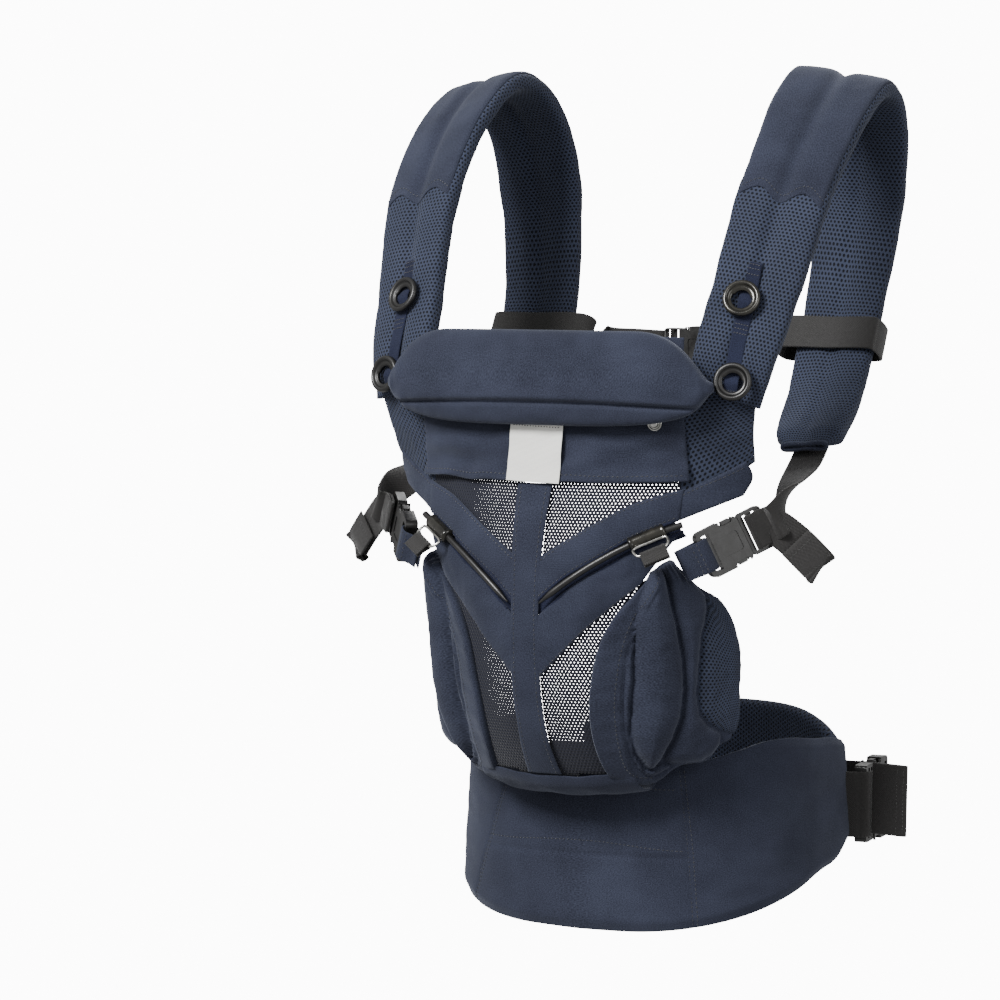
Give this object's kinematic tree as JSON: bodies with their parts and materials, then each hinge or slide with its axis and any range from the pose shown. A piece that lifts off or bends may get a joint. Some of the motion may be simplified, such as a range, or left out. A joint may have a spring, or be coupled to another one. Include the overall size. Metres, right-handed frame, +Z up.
{
  "type": "soft baby carrier",
  "caption": "Soft front baby carrier with a contoured seat panel, padded shoulder straps, a wide waist belt, side-release buckles and hip sliders that set the seat's width.",
  "frame": {"origin": "centre of the waist loop, level with the belt's lower edge", "axes": "+Z up, -Y out of the carrier's front face, +X to the wearer's left; the waist buckle is at +X"},
  "size_m": [0.388, 0.3267, 0.616],
  "materials": {
    "navy_twill": "brushed cotton twill",
    "navy_mesh": "open spacer mesh",
    "white_label": "plain woven label",
    "pad_foam": "closed-cell foam",
    "black_webbing": "ribbed webbing",
    "black_plastic": "satin acetal",
    "steel": "polished"
  },
  "bodies": {
    "carrier": {"centre_strip": "navy_twill", "rail_band_left": "navy_twill", "rail_band_right": "navy_twill", "hip_band_left": "navy_twill", "hip_band_right": "navy_twill", "yoke": "navy_twill", "wing_left": "navy_twill", "wing_right": "navy_twill", "seat_base": "navy_twill", "corner_patch_left": "navy_twill", "corner_patch_right": "navy_twill", "belt_front": "navy_twill", "strap_cover_left": "navy_twill", "strap_cover_right": "navy_twill", "buckle_tab_left": "navy_twill", "buckle_tab_right": "navy_twill", "ring_tape_left": "navy_twill", "ring_tape_right": "navy_twill", "window_upper_left": "navy_mesh", "window_upper_right": "navy_mesh", "window_lower_left": "navy_mesh", "window_lower_right": "navy_mesh", "side_mesh_left": "navy_mesh", "side_mesh_right": "navy_mesh", "belt_pad": "navy_mesh", "strap_lining_left": "navy_mesh", "strap_lining_right": "navy_mesh", "label": "white_label", "strap_foam_left": "pad_foam", "strap_foam_right": "pad_foam", "waist_tail": "black_webbing", "waist_anchor": "black_webbing", "rail_left": "black_plastic", "rail_right": "black_plastic", "waist_buckle_male": "black_plastic", "side_buckle_female_left": "black_plastic", "side_buckle_female_right": "black_plastic", "ring_upper_left": "black_plastic", "ring_upper_right": "black_plastic", "ring_lower_left": "black_plastic", "ring_lower_right": "black_plastic", "hood_snap": "steel"},
    "pillow": {"pillow": "navy_twill"},
    "waist_back": {"waist_webbing": "black_webbing", "waist_buckle_female": "black_plastic"},
    "lumbar": {"lumbar_pad": "navy_mesh"},
    "cross_right": {"cross_strap_right": "black_webbing", "cross_buckle_female": "black_plastic"},
    "cross_left": {"cross_strap_left": "black_webbing", "cross_buckle_male": "black_plastic"},
    "slider_left": {"slider_left": "black_plastic", "slider_ring_left": "steel", "wing_loop_left": "black_webbing"},
    "side_release_left": {"side_buckle_male_left": "black_plastic", "strap_webbing_left": "black_webbing"},
    "slider_right": {"slider_right": "black_plastic", "slider_ring_right": "steel", "wing_loop_right": "black_webbing"},
    "side_release_right": {"side_buckle_male_right": "black_plastic", "strap_webbing_right": "black_webbing"}
  },
  "joints": [
    {"name": "pillow_fold", "type": "hinge", "parent": "carrier", "child": "pillow", "pos_m": [0, -0.172, 0.431], "axis": [-1, 0, 0], "range_deg": [0, 120]},
    {"name": "slider_left_travel", "type": "hinge", "parent": "carrier", "child": "slider_left", "pos_m": [-0.062, -0.04021, 0.15444], "axis": [0.6021, 0.5002, 0.6223], "range_deg": [0, 16]},
    {"name": "slider_right_travel", "type": "hinge", "parent": "carrier", "child": "slider_right", "pos_m": [0.062, -0.04021, 0.15444], "axis": [0.6021, -0.5002, -0.6223], "range_deg": [0, 16]},
    {"name": "side_release_left", "type": "slide", "parent": "carrier", "child": "side_release_left", "axis": [-0.6211, 0.6612, 0.4208], "range_m": [0, 0.006]},
    {"name": "side_release_right", "type": "slide", "parent": "carrier", "child": "side_release_right", "axis": [0.6211, 0.6612, 0.4208], "range_m": [0, 0.006]},
    {"name": "waist_release", "type": "hinge", "parent": "carrier", "child": "waist_back", "pos_m": [-0.138, 0.033, 0.079], "axis": [0, 0, 1], "range_deg": [0, 35]},
    {"name": "lumbar_shift", "type": "hinge", "parent": "waist_back", "child": "lumbar", "pos_m": [0, -0.077, 0.079], "axis": [0, 0, 1], "range_deg": [-3, 3]},
    {"name": "cross_strap_height", "type": "slide", "parent": "carrier", "child": "cross_right", "axis": [0, 0.29, 0.957], "range_m": [-0.003, 0.005]},
    {"name": "cross_release", "type": "slide", "parent": "cross_right", "child": "cross_left", "axis": [-1, 0, 0], "range_m": [0, 0.008]}
  ]
}
